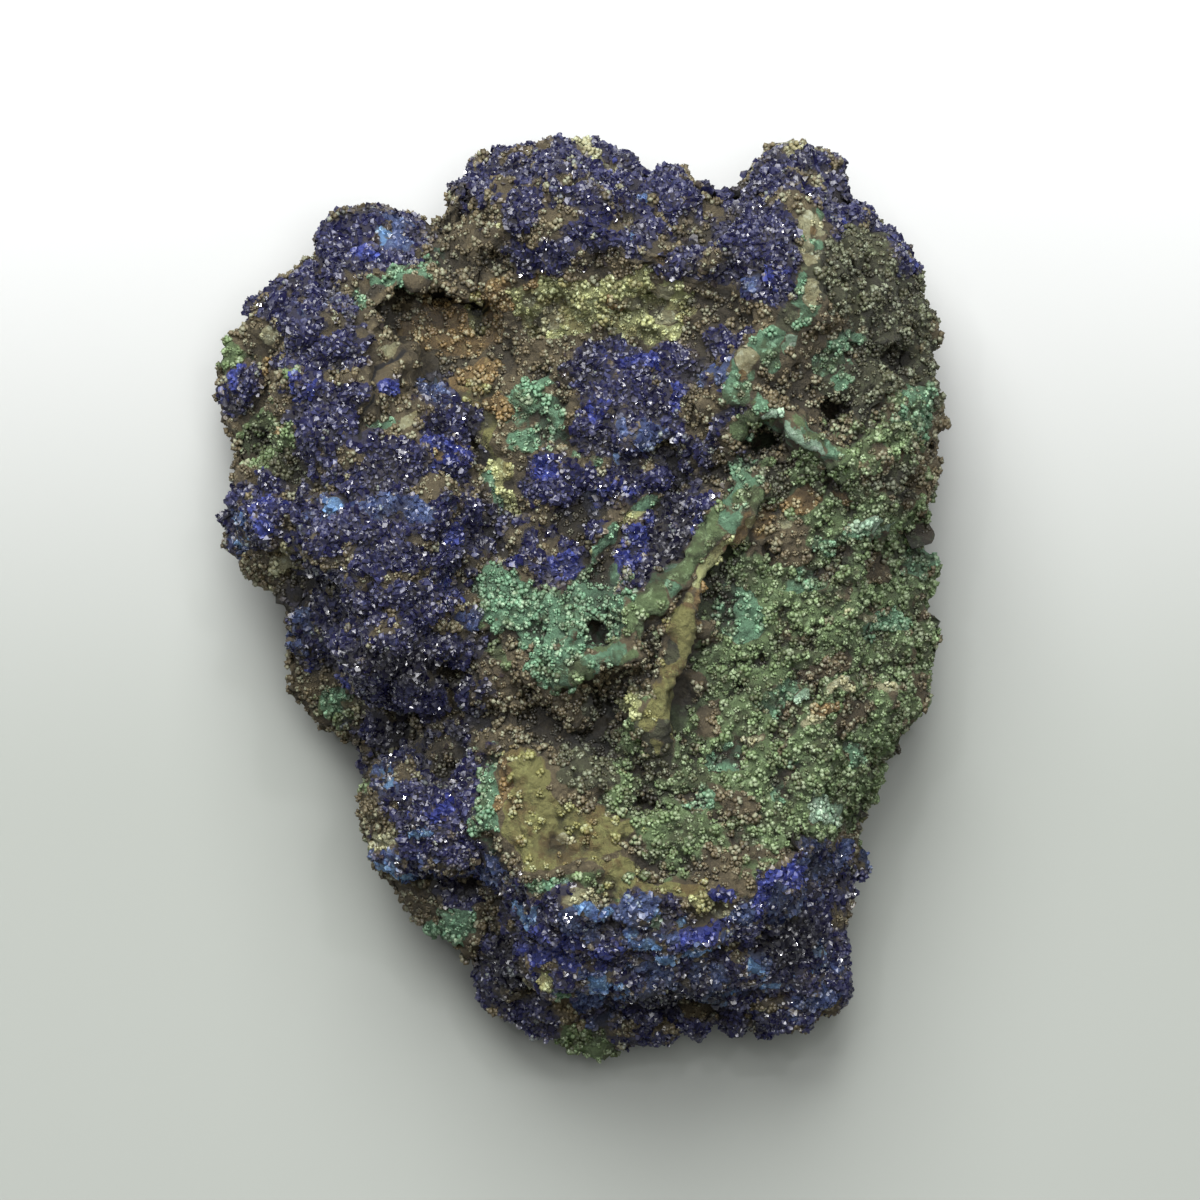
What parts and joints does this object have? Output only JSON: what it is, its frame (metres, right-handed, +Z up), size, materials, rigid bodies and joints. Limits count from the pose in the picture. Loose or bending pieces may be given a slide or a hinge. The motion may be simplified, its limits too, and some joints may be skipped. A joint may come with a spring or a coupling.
{
  "type": "azurite specimen",
  "caption": "Hand-sized lump of brown rock grown over with dark blue azurite crystals and green malachite, lying on its broken back.",
  "frame": {"origin": "middle of the underside, on the surface that the specimen lies on", "axes": "+Z up, out of the showy face; +Y along its length, towards the wide end; +X to the right as the face is looked at"},
  "size_m": [0.0732, 0.0928, 0.0368],
  "materials": {
    "mineral": "rough rock with glinting blue crystals and chalky green crust"
  },
  "bodies": {
    "root": {"azurite_specimen": "mineral"}
  },
  "joints": []
}
